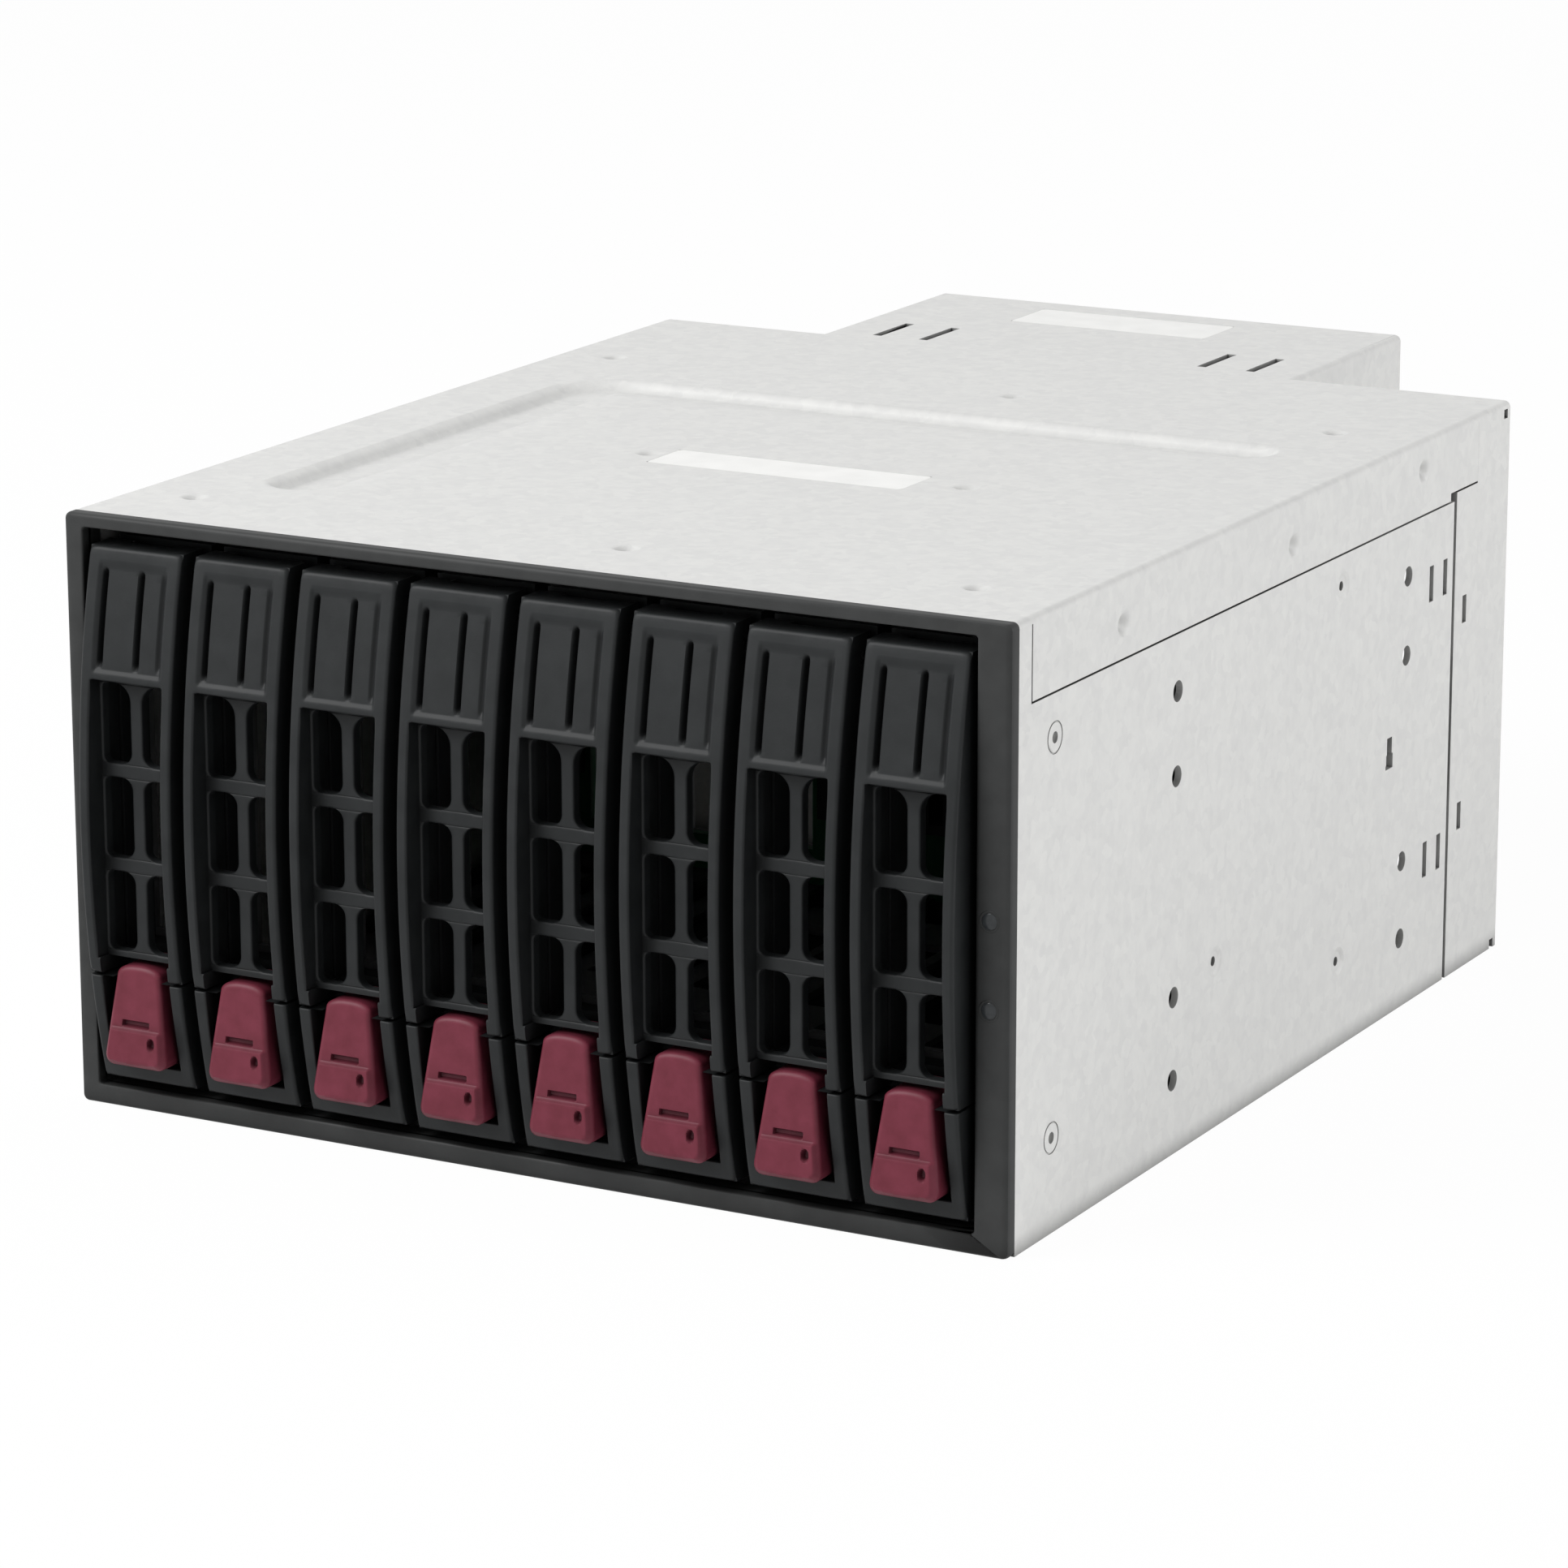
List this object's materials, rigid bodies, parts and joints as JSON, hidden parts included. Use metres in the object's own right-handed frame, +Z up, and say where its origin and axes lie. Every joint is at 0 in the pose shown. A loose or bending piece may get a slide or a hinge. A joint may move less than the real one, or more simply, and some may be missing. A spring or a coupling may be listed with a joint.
{
  "type": "hot swap drive cage",
  "caption": "Steel cage that fills two stacked drive bays, with a row of upright hot swap carriers, levered handles, push releases and a rear fan in a square duct.",
  "frame": {"origin": "on the bottom face, under the front edge of the steel shell, in the middle of its width", "axes": "+Y from the front to the rear, +Z up, +X to the right seen from the front"},
  "size_m": [0.146, 0.2155, 0.085],
  "materials": {
    "galvanised_steel": "galvanised, faint spangle",
    "carrier_steel": "zinc plated, satin",
    "pin_steel": "ground",
    "bright_wire": "nickel plated wire",
    "black_plastic": "fine moulded texture",
    "fan_plastic": "moulded",
    "guide_plastic": "moulded",
    "burgundy_plastic": "satin moulded",
    "clear_lens": "moulded clear",
    "circuit_board": "solder mask",
    "socket_plastic": "moulded"
  },
  "bodies": {
    "cage": {"front_bezel": "black_plastic", "status_lenses": "clear_lens", "status_led_board": "circuit_board", "chassis_pan": "galvanised_steel", "top_cover": "galvanised_steel", "rear_hood": "galvanised_steel", "fan_housing": "galvanised_steel", "fan_frame": "fan_plastic", "fan_guard": "bright_wire", "lower_guide": "guide_plastic", "upper_guide": "guide_plastic", "backplane_board": "circuit_board", "drive_sockets": "socket_plastic", "power_sockets": "socket_plastic", "data_sockets": "socket_plastic", "backplane_bracket": "galvanised_steel"},
    "rotor": {"fan_rotor": "fan_plastic"},
    "tray_1": {"carrier_1": "carrier_steel", "bezel_1": "black_plastic", "handle_pin_1": "pin_steel"},
    "lever_1": {"handle_1": "black_plastic"},
    "button_1": {"release_button_1": "burgundy_plastic"},
    "tray_2": {"carrier_2": "carrier_steel", "bezel_2": "black_plastic", "handle_pin_2": "pin_steel"},
    "lever_2": {"handle_2": "black_plastic"},
    "button_2": {"release_button_2": "burgundy_plastic"},
    "tray_3": {"carrier_3": "carrier_steel", "bezel_3": "black_plastic", "handle_pin_3": "pin_steel"},
    "lever_3": {"handle_3": "black_plastic"},
    "button_3": {"release_button_3": "burgundy_plastic"},
    "tray_4": {"carrier_4": "carrier_steel", "bezel_4": "black_plastic", "handle_pin_4": "pin_steel"},
    "lever_4": {"handle_4": "black_plastic"},
    "button_4": {"release_button_4": "burgundy_plastic"},
    "tray_5": {"carrier_5": "carrier_steel", "bezel_5": "black_plastic", "handle_pin_5": "pin_steel"},
    "lever_5": {"handle_5": "black_plastic"},
    "button_5": {"release_button_5": "burgundy_plastic"},
    "tray_6": {"carrier_6": "carrier_steel", "bezel_6": "black_plastic", "handle_pin_6": "pin_steel"},
    "lever_6": {"handle_6": "black_plastic"},
    "button_6": {"release_button_6": "burgundy_plastic"},
    "tray_7": {"carrier_7": "carrier_steel", "bezel_7": "black_plastic", "handle_pin_7": "pin_steel"},
    "lever_7": {"handle_7": "black_plastic"},
    "button_7": {"release_button_7": "burgundy_plastic"},
    "tray_8": {"carrier_8": "carrier_steel", "bezel_8": "black_plastic", "handle_pin_8": "pin_steel"},
    "lever_8": {"handle_8": "black_plastic"},
    "button_8": {"release_button_8": "burgundy_plastic"}
  },
  "joints": [
    {"name": "fan_spin", "type": "hinge", "parent": "cage", "child": "rotor", "pos_m": [-0.0036, 0.189, 0.044], "axis": [0, 1, 0], "continuous": true},
    {"name": "tray_slide_1", "type": "slide", "parent": "cage", "child": "tray_1", "axis": [0, -1, 0], "range_m": [0, 0.135]},
    {"name": "handle_hinge_1", "type": "hinge", "parent": "tray_1", "child": "lever_1", "pos_m": [-0.06137, 0.0016, 0.0775], "axis": [-1, 0, 0], "range_deg": [0, 60]},
    {"name": "button_push_1", "type": "slide", "parent": "tray_1", "child": "button_1", "axis": [0, 1, 0], "range_m": [0, 0.0018], "stiffness_N_per_m": 400},
    {"name": "tray_slide_2", "type": "slide", "parent": "cage", "child": "tray_2", "axis": [0, -1, 0], "range_m": [0, 0.135]},
    {"name": "handle_hinge_2", "type": "hinge", "parent": "tray_2", "child": "lever_2", "pos_m": [-0.04412, 0.0016, 0.0775], "axis": [-1, 0, 0], "range_deg": [0, 60]},
    {"name": "button_push_2", "type": "slide", "parent": "tray_2", "child": "button_2", "axis": [0, 1, 0], "range_m": [0, 0.0018], "stiffness_N_per_m": 400},
    {"name": "tray_slide_3", "type": "slide", "parent": "cage", "child": "tray_3", "axis": [0, -1, 0], "range_m": [0, 0.135]},
    {"name": "handle_hinge_3", "type": "hinge", "parent": "tray_3", "child": "lever_3", "pos_m": [-0.02687, 0.0016, 0.0775], "axis": [-1, 0, 0], "range_deg": [0, 60]},
    {"name": "button_push_3", "type": "slide", "parent": "tray_3", "child": "button_3", "axis": [0, 1, 0], "range_m": [0, 0.0018], "stiffness_N_per_m": 400},
    {"name": "tray_slide_4", "type": "slide", "parent": "cage", "child": "tray_4", "axis": [0, -1, 0], "range_m": [0, 0.135]},
    {"name": "handle_hinge_4", "type": "hinge", "parent": "tray_4", "child": "lever_4", "pos_m": [-0.00962, 0.0016, 0.0775], "axis": [-1, 0, 0], "range_deg": [0, 60]},
    {"name": "button_push_4", "type": "slide", "parent": "tray_4", "child": "button_4", "axis": [0, 1, 0], "range_m": [0, 0.0018], "stiffness_N_per_m": 400},
    {"name": "tray_slide_5", "type": "slide", "parent": "cage", "child": "tray_5", "axis": [0, -1, 0], "range_m": [0, 0.135]},
    {"name": "handle_hinge_5", "type": "hinge", "parent": "tray_5", "child": "lever_5", "pos_m": [0.00762, 0.0016, 0.0775], "axis": [-1, 0, 0], "range_deg": [0, 60]},
    {"name": "button_push_5", "type": "slide", "parent": "tray_5", "child": "button_5", "axis": [0, 1, 0], "range_m": [0, 0.0018], "stiffness_N_per_m": 400},
    {"name": "tray_slide_6", "type": "slide", "parent": "cage", "child": "tray_6", "axis": [0, -1, 0], "range_m": [0, 0.135]},
    {"name": "handle_hinge_6", "type": "hinge", "parent": "tray_6", "child": "lever_6", "pos_m": [0.02488, 0.0016, 0.0775], "axis": [-1, 0, 0], "range_deg": [0, 60]},
    {"name": "button_push_6", "type": "slide", "parent": "tray_6", "child": "button_6", "axis": [0, 1, 0], "range_m": [0, 0.0018], "stiffness_N_per_m": 400},
    {"name": "tray_slide_7", "type": "slide", "parent": "cage", "child": "tray_7", "axis": [0, -1, 0], "range_m": [0, 0.135]},
    {"name": "handle_hinge_7", "type": "hinge", "parent": "tray_7", "child": "lever_7", "pos_m": [0.04213, 0.0016, 0.0775], "axis": [-1, 0, 0], "range_deg": [0, 60]},
    {"name": "button_push_7", "type": "slide", "parent": "tray_7", "child": "button_7", "axis": [0, 1, 0], "range_m": [0, 0.0018], "stiffness_N_per_m": 400},
    {"name": "tray_slide_8", "type": "slide", "parent": "cage", "child": "tray_8", "axis": [0, -1, 0], "range_m": [0, 0.135]},
    {"name": "handle_hinge_8", "type": "hinge", "parent": "tray_8", "child": "lever_8", "pos_m": [0.05937, 0.0016, 0.0775], "axis": [-1, 0, 0], "range_deg": [0, 60]},
    {"name": "button_push_8", "type": "slide", "parent": "tray_8", "child": "button_8", "axis": [0, 1, 0], "range_m": [0, 0.0018], "stiffness_N_per_m": 400}
  ]
}
